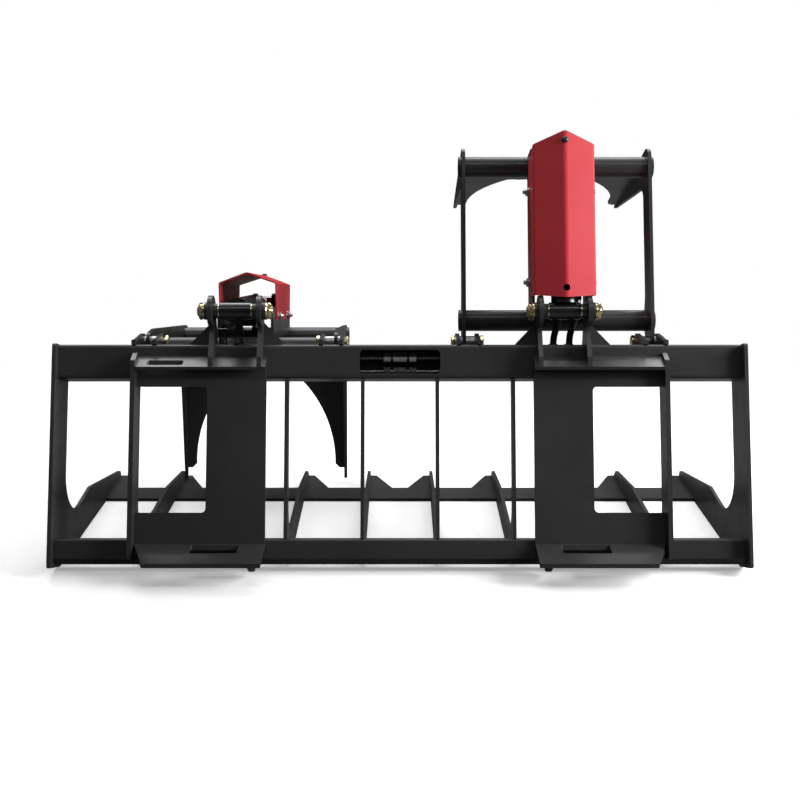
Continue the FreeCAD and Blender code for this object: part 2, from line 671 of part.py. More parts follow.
nodes.append(group("line_fittings", fittings))
grommets = []
for x in hose_places:
    grommet = make_body("grommet", back)
    lip = size.back_height - wall
    rings = [(x, size.hose_reach, grommet_radius), (x, size.hose_reach, size.hose_diameter / 2 + 0.3)]
    add_pad(grommet, make_sketch(grommet, "XY_Plane", circles=rings, level=lip), wall + 4.0)
    grommets.append(grommet)
nodes.append(group("hose_grommets", grommets))

# Lids: two clawed arms, two cross tubes, an arched claw plate, rod lugs and the cylinder guard.
half_depth = size.arm_half_depth
tube_radius = size.tube_diameter / 2
near_tube = (size.near_tube_offset, size.near_tube_place)
far_tube = (0.0, size.far_tube_place)
rod_pin = (-size.rod_pin_offset, size.rod_pin_place)
weld_hole = tube_radius + size.pin_clearance
arch_outer = arch_place + size.arch_thickness
inner_throat = size.far_tube_place - 37.0
arm_profile = [
    (-20.0, -20.0, 19.0),
    (20.0, -20.0, 19.0),
    (size.near_tube_offset + half_depth, size.near_tube_place - 18.0, 20.0),
    (size.near_tube_offset + half_depth, size.near_tube_place + 18.0, 20.0),
    (half_depth, size.near_tube_place + half_depth * 2, 30.0),
    (half_depth, inner_throat - 17.0, 20.0),
    (half_depth + 22.0, inner_throat, 20.0),
    (size.claw_reach * 0.36, inner_throat + 10.0, 60.0),
    (size.claw_reach - 63.0, size.claw_tip - 8.0, 60.0),
    (size.claw_reach, size.claw_tip, 2.0),
    (size.claw_reach, size.claw_tip + size.claw_blunt),
    (size.claw_reach * 0.65, size.arm_length - size.claw_back_drop, 300.0),
    (100.0, size.arm_length - 12.0, 300.0),
    (0.0, size.arm_length, 40.0),
    (-half_depth, size.arm_length - 6.0, 24.0),
    (-half_depth, 40.0, 20.0),
]
bracket_profile = [
    (-size.bracket_high, size.bracket_near, 6.0),
    (-size.bracket_low, size.bracket_near),
    (-size.bracket_low, size.bracket_far),
    (-size.bracket_high, size.bracket_far, 6.0),
]
lug_reach = tube_radius + 8.0
APEX_TEETH = 7
rod_lug_profile = [
    polar(rod_pin, size.rod_lug_radius, 88.0),
    polar(rod_pin, size.rod_lug_radius, -92.0),
    polar(far_tube, lug_reach, -98.0),
    polar(far_tube, lug_reach, 98.0),
]
bolt_radius = size.bolt_diameter / 2
for name, side in (("left", -1), ("right", 1)):
    middle = side * size.lid_centre
    turn = lid_turns[name]
    lid = (pivot_y - centre_y, pivot_z, turn)
    arm_inner = size.arm_centre - size.arm_thickness / 2
    arm_outer = size.arm_centre + size.arm_thickness / 2
    arms, brackets, rod_lugs, bolts, bushes = [], [], [], [], []
    bracket_outer = size.guard_half_width - size.guard_sheet
    bracket_inner = bracket_outer - size.bracket_thickness
    for flank in (-1, 1):
        arms.append(plate("arm", lid, middle + spanning(flank, arm_inner, arm_outer), size.arm_thickness,
                          [arm_profile], [(0.0, 0.0, pivot_hole), (*near_tube, weld_hole),
                                          (*far_tube, weld_hole)]))
        bracket_low = middle + spanning(flank, bracket_inner, bracket_outer)
        bolt_centres = [(-size.bolt_offset, size.near_bolt), (-size.bolt_offset, size.far_bolt)]
        bracket_holes = [(*centre, bolt_radius + size.pin_clearance) for centre in bolt_centres]
        bracket = plate("bracket", lid, bracket_low, size.bracket_thickness, [bracket_profile], bracket_holes)
        for tube in (near_tube, far_tube):
            add_pocket(bracket, make_sketch(bracket, "YZ_Plane", circles=[(*tube, weld_hole)]),
                       size.bracket_thickness, backwards=True)
        brackets.append(bracket)
        rod_low = spanning(flank, size.rod_lug_gap / 2, size.rod_lug_gap / 2 + size.rod_lug_thickness)
        rod_lug = plate("lug", lid, middle + rod_low, size.rod_lug_thickness, [rod_lug_profile], [],
                        [(*rod_pin, size.rod_lug_radius)])
        add_pocket(rod_lug, make_sketch(rod_lug, "YZ_Plane", circles=[(*rod_pin, pivot_hole)]),
                   size.rod_lug_thickness, backwards=True)
        add_pocket(rod_lug, make_sketch(rod_lug, "YZ_Plane", circles=[(*far_tube, weld_hole)]),
                   size.rod_lug_thickness, backwards=True)
        rod_lugs.append(rod_lug)
        stub_outer = size.rod_lug_gap / 2 + size.rod_lug_thickness
        stub_low = spanning(flank, size.rod_lug_gap / 2, stub_outer + 4.0)
        rod_lugs.append(turned("pin_end", lid, middle + stub_low, size.rod_lug_thickness + 4.0, rod_pin,
                               size.pin_diameter / 2))
        rod_lugs.append(nut("pin_head", lid, middle + spanning(flank, stub_outer + 4.0, stub_outer + 11.0),
                            7.0, rod_pin, as_size(28.0)))
        for centre in bolt_centres:
            bolt_inner = bracket_inner - 9.0
            shank_end = size.guard_half_width + 2.0
            bolts.append(turned("shank", lid, middle + spanning(flank, bolt_inner, shank_end),
                                shank_end - bolt_inner, centre, bolt_radius))
            washer = spanning(flank, size.guard_half_width, shank_end)
            bolts.append(turned("washer", lid, middle + washer, shank_end - size.guard_half_width, centre,
                                bolt_radius * 2, bolt_radius))
            bolts.append(nut("head", lid, middle + spanning(flank, shank_end, shank_end + 6.0), 6.0, centre,
                             as_size(17.0)))
        ear_gap = size.ear_inner + size.ear_thickness + size.running_gap
        outer_gap = size.ear_outer - size.running_gap
        for low, high in ((ear_gap, arm_inner), (arm_outer, outer_gap)):
            bushes.append(turned("bush", lid, middle + spanning(flank, low, high), high - low, (0.0, 0.0),
                                 size.bush_radius, pivot_hole))
    nodes.append(group(f"lid_arms_{name}", arms))
    nodes.append(group(f"guard_brackets_{name}", brackets))
    nodes.append(group(f"rod_lugs_{name}", rod_lugs))
    nodes.append(group(f"guard_bolts_{name}", bolts))
    nodes.append(group(f"pivot_bushes_{name}", bushes))
    tube_end = arm_outer + size.tube_overhang
    for tube_name, centre in (("near", near_tube), ("far", far_tube)):
        nodes.append(turned(f"{tube_name}_tube_{name}", lid, middle - tube_end, 2 * tube_end, centre,
                            tube_radius, tube_radius - size.tube_wall))

    # Arched claw plate between the arms: straight legs with a cut inner corner, a round arch and a
    # finely toothed apex.
    arch = make_body(f"arch_plate_{name}", lid, middle)
    arch_low = tube_radius - 0.5
    arch_profile = [
        (-arm_inner, arch_low),
        (arm_inner, arch_low),
        (arm_inner, size.arch_reach),
        (size.arch_leg_half + size.arch_leg_chamfer, size.arch_reach),
        (size.arch_leg_half, size.arch_reach - size.arch_leg_chamfer),
        (size.arch_leg_half, size.arch_bend, (size.arch_bend - size.arch_apex) * 3.4),
        (size.arch_apex_half, size.arch_apex),
    ]
    apex = []
    for tooth in range(2 * APEX_TEETH - 1):
        depth = size.arch_scallop if tooth % 2 == 0 else as_size(0.0)
        share = 1.0 - (tooth + 1) / APEX_TEETH
        apex.append((size.arch_apex_half * share, size.arch_apex - depth))
    mirrored = [(-point[0], *point[1:]) for point in arch_profile[:1:-1]]
    arch_sketch = make_sketch(arch, "XY_Plane", [arch_profile + apex + mirrored], level=arch_place)
    add_pad(arch, arch_sketch, size.arch_thickness)
    nodes.append(arch)

    # Cylinder guard: folded sheet with a ridged roof, its ends cut to a slant.
    guard = make_body(f"guard_{name}", lid, middle)
    sheet_wall = size.guard_sheet
    roof_drop = sheet_wall * 1.04
    guard_half = size.guard_half_width
    guard_section = [
        (guard_half, -size.guard_skirt),
        (guard_half - sheet_wall, -size.guard_skirt),
        (guard_half - sheet_wall, -size.guard_fold + 2.0, 3.0),
        (0.0, -size.guard_ridge + roof_drop + 1.0, 12.0),
        (sheet_wall - guard_half, -size.guard_fold + 2.0, 3.0),
        (sheet_wall - guard_half, -size.guard_skirt),
        (-guard_half, -size.guard_skirt),
        (-guard_half, -size.guard_fold, 6.0),
        (0.0, -size.guard_ridge - 1.0, 15.0),
        (guard_half, -size.guard_fold, 6.0),
    ]
    section_sketch = make_sketch(guard, "XY_Plane", [guard_section], level=size.guard_near)
    add_pad(guard, section_sketch, size.guard_far - size.guard_near)
    far_slant = [
        (-size.guard_ridge - 2.0, size.guard_far + 1.0),
        (-size.guard_ridge, size.guard_far),
        (-size.guard_fold, size.guard_fold_far, 6.0),
        (-size.bolt_offset - 5.0, size.guard_skirt_far, 20.0),
        (-size.guard_skirt + 2.0, size.guard_skirt_far - 12.0),
        (-size.guard_skirt + 2.0, size.guard_far + 1.0),
    ]
    near_slant = [
        (-size.guard_ridge - 2.0, size.guard_near - 1.0),
        (-size.guard_skirt + 2.0, size.guard_near - 1.0),
        (-size.guard_skirt + 2.0, size.guard_skirt_near),
        (-size.guard_fold, size.guard_fold_near),
        (-size.guard_ridge, size.guard_near),
    ]
    bolt_holes = [(*centre, bolt_radius + size.pin_clearance) for centre in bolt_centres]
    slant_sketch = make_sketch(guard, "YZ_Plane", [far_slant, near_slant], bolt_holes,
                               level=-guard_half - 1.0)
    add_pocket(guard, slant_sketch, 2 * guard_half + 2.0, backwards=True)
    ridge_holes = [(0.0, size.guard_near + size.ridge_hole_inset, size.ridge_hole / 2)]
    hole_sketch = make_sketch(guard, "XZ_Plane", circles=ridge_holes, level=size.guard_ridge + 2.0)
    add_pocket(guard, hole_sketch, size.guard_ridge - size.guard_fold + 2.0)
    nodes.append(guard)

    # Cylinder: eye, hollow barrel and ports, with the gland that guides the rod.
    cylinder, reach = cylinder_frame(turn)
    barrel_radius = size.barrel_diameter / 2
    bore_radius = size.barrel_bore / 2
    eye_radius = size.eye_diameter / 2
    origin = (0.0, 0.0)
    barrel = make_body(f"barrel_{name}", cylinder, middle)
    barrel_eye = make_sketch(barrel, "YZ_Plane", circles=[(*origin, eye_radius)], level=-size.eye_width / 2)
    add_pad(barrel, barrel_eye, size.eye_width)
    add_pad(barrel, make_sketch(barrel, "XY_Plane", circles=[(*origin, barrel_radius)],
                                level=eye_radius - 5.0), size.barrel_length - eye_radius + 5.0)
    add_pocket(barrel, make_sketch(barrel, "YZ_Plane", circles=[(*origin, pin_hole)],
                                   level=-size.eye_width / 2 - 1.0), size.eye_width + 2.0, backwards=True)
    add_pocket(barrel, make_sketch(barrel, "XY_Plane", circles=[(*origin, bore_radius)],
                                   level=size.barrel_length), size.barrel_length - size.barrel_floor)
    nodes.append(barrel)
    gland = make_body(f"gland_{name}", cylinder, middle)
    rod_radius = size.rod_diameter / 2
    gland_bore = rod_radius + size.pin_clearance
    gland_low = size.barrel_length - size.gland_depth
    add_pad(gland, make_sketch(gland, "XY_Plane", circles=[(*origin, bore_radius), (*origin, gland_bore)],
                               level=gland_low), size.gland_depth)
    collar_rings = [(*origin, barrel_radius - 3.0), (*origin, gland_bore)]
    collar_sketch = make_sketch(gland, "XY_Plane", circles=collar_rings, level=size.barrel_length)
    add_pad(gland, collar_sketch, size.gland_collar)
    nodes.append(gland)
    ports = []
    block_half = size.port_block / 2
    for x in (as_size(0.0), port_spacing):
        block = make_body("port", cylinder, middle + side * x)
        outline = tube_section(size.port_place - block_half, size.port_place + block_half,
                               size.port_reach - block_half, size.port_reach + block_half, 3.0)
        add_pad(block, make_sketch(block, "YZ_Plane", [outline], level=-block_half), size.port_block)
        ports.append(block)
    stem = make_body("stem", cylinder, middle)
    stem_length = size.port_reach - block_half - barrel_radius
    add_pad(stem, make_sketch(stem, "XZ_Plane", circles=[(0.0, size.port_place, 8.0)],
                              level=-barrel_radius), stem_length, backwards=True)
    ports.append(stem)
    feed = make_body("feed_pipe", cylinder, middle + side * port_spacing)
    feed_top = size.barrel_length - 42.0
    add_pad(feed, make_sketch(feed, "XY_Plane", circles=[(0.0, size.port_reach - 12.0, line_radius)],
                              level=size.port_place + block_half), feed_top - size.port_place - block_half)
    ports.append(feed)
    head = make_body("port_head", cylinder, middle + side * port_spacing)
    head_outline = tube_section(feed_top, feed_top + size.port_block, barrel_radius,
                                size.port_reach - 12.0 + block_half, 3.0)
    head_width = port_spacing + block_half + 8.0
    head_start = -block_half if side < 0 else block_half - head_width
    add_pad(head, make_sketch(head, "YZ_Plane", [head_outline], level=head_start), head_width)
    ports.append(head)
    nodes.append(group(f"port_fittings_{name}", ports))

    # Rod: shaft and eye, holding the middle of the rod pin, with the piston at its foot.
    rod = make_body(f"rod_{name}", cylinder, middle)
    rod_half = size.rod_eye_width / 2
    shortest = cylinder_frame(lid_turns["right"])[1]
    shaft_foot = size.barrel_floor + 4.0 + reach - shortest
    add_pad(rod, make_sketch(rod, "YZ_Plane", circles=[(0.0, reach, eye_radius)], level=-rod_half),
            size.rod_eye_width)
    add_pad(rod, make_sketch(rod, "XY_Plane", circles=[(*origin, rod_radius)], level=shaft_foot),
            reach - shaft_foot - eye_radius / 2)
    nodes.append(rod)
    piston = make_body(f"piston_{name}", cylinder, middle)
    piston_foot = shaft_foot + 6.0
    add_pad(piston, make_sketch(piston, "XY_Plane", circles=[(*origin, bore_radius - size.pin_clearance),
                                                             (*origin, gland_bore)], level=piston_foot),
            size.piston_length)
    nodes.append(piston)

doc.recompute()


# Hoses: straight runs joined by tangent arcs, from the elbows in the beam to the cylinder ports.
def hose_tube(label, route, diameter):
    edges, start = [], route[0]
    radii = []
    for index in range(1, len(route) - 1):
        here = route[index]
        back_way = (route[index - 1] - here)
        on_way = (route[index + 1] - here)
        half_turn = (math.pi - back_way.getAngle(on_way)) / 2
        radius = 0.45 * min(back_way.Length, on_way.Length) / math.tan(half_turn)
        run = radius * math.tan(half_turn)
        radii.append(round(radius, 1))
        entry = here + V(back_way).normalize() * run
        leave = here + V(on_way).normalize() * run
        inward = (V(back_way).normalize() + V(on_way).normalize()).normalize()
        middle_point = here + inward * (radius / math.cos(half_turn) - radius)
        edges.append(Part.LineSegment(start, entry).toShape())
        edges.append(Part.Arc(entry, middle_point, leave).toShape())
        start = leave
    edges.append(Part.LineSegment(start, route[-1]).toShape())
    path = Part.Wire(edges)
    section = Part.Wire([Part.Circle(route[0], route[1] - route[0], diameter / 2).toShape()])
    hose = doc.addObject("Part::Feature", label)
    hose.Label = label
    hose.Shape = path.makePipeShell([section], True, False)
    share = hose.Shape.Volume / (math.pi * diameter ** 2 / 4 * path.Length)
    print(f"{label}: length {path.Length:.1f} mm, radii {radii}, volume share {share:.4f}")
    return hose


def back_place(x, depth, height):
    forward, upward = raked(as_size(height), as_size(depth))
    return V(x, (forward - centre_y).value, upward.value)


def port_place_in(name, x, along, reach_out):
    frame, _ = cylinder_frame(lid_turns[name])
    turn_now = math.radians(frame[2].value)
    forward = frame[0].value - along * math.sin(turn_now) + reach_out * math.cos(turn_now)
    upward = frame[1].value + along * math.cos(turn_now) + reach_out * math.sin(turn_now)
    return V(x, forward, upward)


gap = size.running_gap.value
depth_now = size.hose_reach.value
beam_top = size.back_height.value
block_half = size.port_block.value / 2
hose_ends = (("inner", 0, 0.0, upper_line), ("outer", 1, port_spacing.value, lower_line))
for hose_name, index, port_offset, height in hose_ends:
    foot = height.value + size.elbow_size.value / 2 + gap
    for name, side in (("left", -1), ("right", 1)):
        middle = side * size.lid_centre.value
        at_beam = middle + side * hose_offsets[name][index].value
        at_port = middle + side * port_offset
        route = [back_place(at_beam, depth_now, foot), back_place(at_beam, depth_now, beam_top + 15.0)]
        if name == "right":
            end = port_place_in(name, at_port, size.port_place.value - block_half - gap,
                                size.port_reach.value)
            below = port_place_in(name, at_port, size.port_place.value - block_half - 26.0,
                                  size.port_reach.value)
            shoulder = back_place(at_beam + 0.5 * (at_port - at_beam), depth_now + 1.0, beam_top + 43.0)
            route += [shoulder, below, end]
        else:
            wedge = size.hose_diameter.value / 6
            end = port_place_in(name, at_port, size.port_place.value,
                                size.port_reach.value + block_half + wedge)
            route = [route[0], end]
        nodes.append(hose_tube(f"hose_{hose_name}_{name}", route, size.hose_diameter.value))

doc.recompute()
for item in doc.Objects:
    if "Invalid" in item.State or "Error" in item.State:
        raise RuntimeError(f"{item.Label} did not build: {item.State}")
for node in nodes:
    if node.Shape.isNull() or not node.Shape.isValid():
        raise RuntimeError(f"{node.Label} has no valid shape")

os.makedirs("parts", exist_ok=True)
for node in nodes:
    node.Shape.exportStep(f"parts/{node.Label}.step")
box = Part.makeCompound([node.Shape for node in nodes]).BoundBox
print(f"{len(nodes)} nodes, X {box.XMin:.1f} {box.XMax:.1f}, Y {box.YMin:.1f} {box.YMax:.1f}, "
      f"Z {box.ZMin:.1f} {box.ZMax:.1f}")
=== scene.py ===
import math
import bmesh
import bpy
from mathutils import Matrix, Vector


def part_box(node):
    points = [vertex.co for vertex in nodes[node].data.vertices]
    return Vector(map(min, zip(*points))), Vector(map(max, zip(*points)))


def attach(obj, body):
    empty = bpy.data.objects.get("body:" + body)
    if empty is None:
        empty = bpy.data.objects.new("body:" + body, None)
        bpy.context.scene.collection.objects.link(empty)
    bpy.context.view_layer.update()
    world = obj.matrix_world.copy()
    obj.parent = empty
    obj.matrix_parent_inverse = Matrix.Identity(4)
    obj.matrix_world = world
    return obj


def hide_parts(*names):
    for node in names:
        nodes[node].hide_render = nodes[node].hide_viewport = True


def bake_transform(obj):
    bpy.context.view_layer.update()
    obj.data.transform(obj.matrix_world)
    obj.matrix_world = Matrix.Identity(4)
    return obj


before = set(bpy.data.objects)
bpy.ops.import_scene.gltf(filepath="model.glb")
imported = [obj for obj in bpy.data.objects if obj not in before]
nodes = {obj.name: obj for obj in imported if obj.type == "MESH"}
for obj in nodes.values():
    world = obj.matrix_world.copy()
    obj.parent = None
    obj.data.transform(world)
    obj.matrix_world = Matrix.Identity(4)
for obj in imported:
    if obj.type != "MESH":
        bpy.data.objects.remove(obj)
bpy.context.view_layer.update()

# Camera: behind the grapple and a little above it, looking forward and down at the back frame,
# at the photograph's own angle. The frame's rear bottom corner is the distance's zero.
REAR_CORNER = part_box("side_plate_left")[0].y
CAMERA_BACK = 2.203
CAMERA_HEIGHT = 1.0306
CAMERA_PITCH = math.radians(15.9)
camera_data = bpy.data.cameras.new("camera")
camera_data.lens = 50.0
camera_data.sensor_width = 36.0
camera_data.clip_end = 60.0
camera = bpy.data.objects.new("camera", camera_data)
camera.location = (0.0, REAR_CORNER - CAMERA_BACK, CAMERA_HEIGHT)
camera.rotation_euler = (math.pi / 2 - CAMERA_PITCH, 0.0, 0.0)
bpy.context.scene.collection.objects.link(camera)
bpy.context.scene.camera = camera


# Studio: a pale floor that turns plain white away from the grapple, a soft sky that is dark near
# the horizon, and five large soft lamps. The key stands to the right, behind the camera.
def object_of(name, mesh):
    item = bpy.data.objects.new(name, mesh)
    bpy.context.scene.collection.objects.link(item)
    return item


FLOOR_HALF = 20.0
FLOOR_FADE = (0.75, 1.9)
floor_mesh = bpy.data.meshes.new("floor")
floor_mesh.from_pydata([(-FLOOR_HALF, -FLOOR_HALF, 0), (FLOOR_HALF, -FLOOR_HALF, 0),
                        (FLOOR_HALF, FLOOR_HALF, 0), (-FLOOR_HALF, FLOOR_HALF, 0)], [], [(0, 1, 2, 3)])
floor = object_of("floor", floor_mesh)
floor_paint = bpy.data.materials.new("floor_paint")
floor_paint.use_nodes = True
tree = floor_paint.node_tree
floor_shader = tree.nodes["Principled BSDF"]
floor_shader.inputs["Roughness"].default_value = 0.6
floor_shader.inputs["Specular IOR Level"].default_value = 0.2
ray = tree.nodes.new("ShaderNodeLightPath")
shade = tree.nodes.new("ShaderNodeMix")
shade.data_type = "RGBA"
shade.inputs["A"].default_value = (0.16, 0.16, 0.16, 1.0)
shade.inputs["B"].default_value = (0.93, 0.93, 0.93, 1.0)
tree.links.new(ray.outputs["Is Camera Ray"], shade.inputs["Factor"])
tree.links.new(shade.outputs["Result"], floor_shader.inputs["Base Color"])
spot = tree.nodes.new("ShaderNodeTexCoord")
flat = tree.nodes.new("ShaderNodeVectorMath")
flat.operation = "MULTIPLY"
flat.inputs[1].default_value = (0.75, 1.0, 0.0)
tree.links.new(spot.outputs["Object"], flat.inputs[0])
distance = tree.nodes.new("ShaderNodeVectorMath")
distance.operation = "LENGTH"
tree.links.new(flat.outputs["Vector"], distance.inputs[0])
fade = tree.nodes.new("ShaderNodeMapRange")
fade.interpolation_type = "SMOOTHSTEP"
fade.inputs["From Min"].default_value = FLOOR_FADE[0]
fade.inputs["From Max"].default_value = FLOOR_FADE[1]
tree.links.new(distance.outputs["Value"], fade.inputs["Value"])
seen_far = tree.nodes.new("ShaderNodeMath")
seen_far.operation = "MULTIPLY"
tree.links.new(fade.outputs["Result"], seen_far.inputs[0])
tree.links.new(ray.outputs["Is Camera Ray"], seen_far.inputs[1])
lift = tree.nodes.new("ShaderNodeEmission")
tree.links.new(ray.outputs["Is Camera Ray"], lift.inputs["Strength"])
lift.inputs["Color"].default_value = (0.34, 0.34, 0.34, 1.0)
lifted = tree.nodes.new("ShaderNodeAddShader")
tree.links.new(floor_shader.outputs[0], lifted.inputs[0])
tree.links.new(lift.outputs[0], lifted.inputs[1])
plain_white = tree.nodes.new("ShaderNodeEmission")
whole = tree.nodes.new("ShaderNodeMixShader")
tree.links.new(seen_far.outputs[0], whole.inputs["Fac"])
tree.links.new(lifted.outputs[0], whole.inputs[1])
tree.links.new(plain_white.outputs[0], whole.inputs[2])
tree.links.new(whole.outputs[0], tree.nodes["Material Output"].inputs["Surface"])
floor.data.materials.append(floor_paint)

world = bpy.data.worlds.new("studio")
bpy.context.scene.world = world
world.use_nodes = True
sky, wires = world.node_tree.nodes, world.node_tree.links
sky.clear()
ray = sky.new("ShaderNodeLightPath")
seen = sky.new("ShaderNodeMath")
seen.operation = "MAXIMUM"
wires.new(ray.outputs["Is Camera Ray"], seen.inputs[0])
wires.new(ray.outputs["Is Transmission Ray"], seen.inputs[1])
direction = sky.new("ShaderNodeTexCoord")
split = sky.new("ShaderNodeSeparateXYZ")
wires.new(direction.outputs["Generated"], split.inputs[0])
upward = sky.new("ShaderNodeMapRange")
upward.inputs["From Min"].default_value = 0.15
upward.inputs["From Max"].default_value = 0.8
upward.inputs["To Min"].default_value = 0.04
upward.inputs["To Max"].default_value = 0.10
wires.new(split.outputs["Z"], upward.inputs["Value"])
soft_light = sky.new("ShaderNodeBackground")
wires.new(upward.outputs["Result"], soft_light.inputs["Strength"])
white = sky.new("ShaderNodeBackground")
white.inputs["Color"].default_value = (1.0, 1.0, 1.0, 1.0)
choose = sky.new("ShaderNodeMixShader")
wires.new(seen.outputs[0], choose.inputs["Fac"])
wires.new(soft_light.outputs[0], choose.inputs[1])
wires.new(white.outputs[0], choose.inputs[2])
output = sky.new("ShaderNodeOutputWorld")
wires.new(choose.outputs[0], output.inputs["Surface"])
bpy.context.scene.view_settings.view_transform = "Standard"


def add_lamp(name, place, aim, width, depth, power):
    data = bpy.data.lights.new(name, "AREA")
    data.shape = "RECTANGLE"
    data.size = width
    data.size_y = depth
    data.energy = power
    lamp = object_of(name, data)
    lamp.location = place
    lamp.rotation_euler = (Vector(aim) - Vector(place)).to_track_quat("-Z", "Y").to_euler()


add_lamp("key_lamp", (3.0, -0.8, 1.7), (0.2, 0.0, 0.6), 1.6, 1.6, 145.0)
add_lamp("top_lamp", (0.0, 0.6, 3.3), (0.0, 0.0, 0.4), 3.0, 1.0, 20.0)
add_lamp("strip_lamp", (0.0, -1.9, 3.3), (0.0, 0.0, 0.4), 4.0, 0.4, 16.0)
add_lamp("fill_lamp", (-2.8, -1.4, 1.6), (0.0, 0.0, 0.4), 2.0, 2.0, 1.5)
add_lamp("back_lamp", (0.0, 2.0, 3.05), (0.0, 0.0, 0.5), 5.0, 1.3, 115.0)


# Black powder coat on every plate and beam of the frame and the lids: satin polyester powder,
# baked on, with a faint orange peel and slightly greyer rubbed patches.
def noise(tree, coordinates, scale, detail, low, high, to_low, to_high):
    grain = tree.nodes.new("ShaderNodeTexNoise")
    grain.inputs["Scale"].default_value = scale
    grain.inputs["Detail"].default_value = detail
    tree.links.new(coordinates, grain.inputs["Vector"])
    span = tree.nodes.new("ShaderNodeMapRange")
    span.inputs["From Min"].default_value = low
    span.inputs["From Max"].default_value = high
    span.inputs["To Min"].default_value = to_low
    span.inputs["To Max"].default_value = to_high
    tree.links.new(grain.outputs["Fac"], span.inputs["Value"])
    return span.outputs["Result"]


def finish_material(name, dark, light, rough, metallic=0.0, peel=420.0, peel_depth=0.0002, patch=6.0,
                    specular=0.5, coat=0.0, worn=None):
    made = bpy.data.materials.new(name)
    made.use_nodes = True
    tree = made.node_tree
    surface = tree.nodes["Principled BSDF"]
    surface.inputs["Metallic"].default_value = metallic
    surface.inputs["Specular IOR Level"].default_value = specular
    surface.inputs["Coat Weight"].default_value = coat
    surface.inputs["Coat Roughness"].default_value = 0.12
    place = tree.nodes.new("ShaderNodeTexCoord").outputs["Object"]
    blend = tree.nodes.new("ShaderNodeMix")
    blend.data_type = "RGBA"
    blend.inputs["A"].default_value = (*dark, 1.0)
    blend.inputs["B"].default_value = (*light, 1.0)
    tree.links.new(noise(tree, place, patch, 5.0, 0.35, 0.68, 0.0, 1.0), blend.inputs["Factor"])
    colour = blend.outputs["Result"]
    if worn is not None:
        rub = tree.nodes.new("ShaderNodeMix")
        rub.data_type = "RGBA"
        rub.inputs["B"].default_value = (*worn, 1.0)
        tree.links.new(noise(tree, place, 160.0, 8.0, 0.69, 0.72, 0.0, 1.0), rub.inputs["Factor"])
        tree.links.new(colour, rub.inputs["A"])
        colour = rub.outputs["Result"]
    tree.links.new(colour, surface.inputs["Base Color"])
    tree.links.new(noise(tree, place, patch * 5.0, 4.0, 0.3, 0.7, rough - 0.04, rough + 0.04),
                   surface.inputs["Roughness"])
    skin = tree.nodes.new("ShaderNodeTexNoise")
    skin.inputs["Scale"].default_value = peel
    skin.inputs["Detail"].default_value = 2.0
    tree.links.new(place, skin.inputs["Vector"])
    bump = tree.nodes.new("ShaderNodeBump")
    bump.inputs["Strength"].default_value = 0.35
    bump.inputs["Distance"].default_value = peel_depth
    tree.links.new(skin.outputs["Fac"], bump.inputs["Height"])
    tree.links.new(bump.outputs["Normal"], surface.inputs["Normal"])
    return made


def dress(material, *starts):
    for key, item in nodes.items():
        if key.startswith(starts):
            item.data.materials.clear()
            item.data.materials.append(material)


black_coat = finish_material("black_coat", (0.031, 0.0312, 0.0318), (0.039, 0.0392, 0.0402), 0.33,
                             worn=(0.055, 0.055, 0.057))
dress(black_coat, "side_plate", "top_beam", "bottom_beam", "tines", "cutting_edge", "coupler",
      "lid_", "rod_lugs", "guard_brackets", "cylinder_lugs", "near_tube", "far_tube", "arch_plate")

# Cylinder guards: folded sheet steel in gloss red powder coat, bolted over each cylinder.
red_coat = finish_material("red_coat", (0.59, 0.046, 0.057), (0.64, 0.052, 0.066), 0.42, peel_depth=0.0001,
                           specular=0.12)
dress(red_coat, "guard_left", "guard_right")

# Turned bushes on the lid pivots, and in the beam the dark steel lines with their plated unions.
bush_steel = finish_material("bush_steel", (0.30, 0.30, 0.31), (0.42, 0.42, 0.43), 0.35, metallic=1.0)
dress(bush_steel, "pivot_bushes")
dark_steel = finish_material("dark_steel", (0.17, 0.17, 0.175), (0.28, 0.28, 0.29), 0.27, metallic=1.0,
                             patch=40.0)
dress(dark_steel, "beam_lines")
union_steel = finish_material("union_steel", (0.42, 0.42, 0.43), (0.60, 0.60, 0.61), 0.24, metallic=1.0,
                              patch=40.0)
dress(union_steel, "line_fittings")

# Cylinders: honed tube in gloss black, with black ports, a hard-chromed rod and an iron piston.
barrel_paint = finish_material("barrel_paint", (0.011, 0.011, 0.012), (0.015, 0.015, 0.016), 0.26, coat=0.3)
dress(barrel_paint, "barrel", "gland", "port_fittings")
hard_chrome = finish_material("hard_chrome", (0.62, 0.63, 0.65), (0.72, 0.73, 0.75), 0.1, metallic=1.0)
dress(hard_chrome, "rod_left", "rod_right")
turned_iron = finish_material("turned_iron", (0.18, 0.18, 0.18), (0.26, 0.26, 0.26), 0.45, metallic=1.0)
dress(turned_iron, "piston")

# Pins and bolts: yellow-zinc pins held by flanged nuts, black collars beside the cylinder eyes,
# plated heads on the lid pivots, and hexagon bolts with washers through the guards. They all lie
# across the grapple. A black domed bolt stands on each guard's ridge, near its far end.
RAKE = math.radians(20.8)
CORNER_LIFT = 0.0263
MIDDLE_Y = 0.365139
LID_CENTRE = (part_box("guard_right")[0].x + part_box("guard_right")[1].x) / 2
PIVOT = (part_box("pivot_pins_right")[0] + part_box("pivot_pins_right")[1]) / 2
BASE_PIN = (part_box("base_pin_right")[0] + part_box("base_pin_right")[1]) / 2
SIDES = {"left": -1, "right": 1}
LID_TURN = {"left": math.radians(-100.8), "right": math.radians(-20.8)}
RING_STEPS = 48


def turned_spot(origin, turn, x, along, offset):
    forward = origin.y - along * math.sin(turn) + offset * math.cos(turn)
    upward = origin.z + along * math.cos(turn) + offset * math.sin(turn)
    return Vector((x, forward, upward))


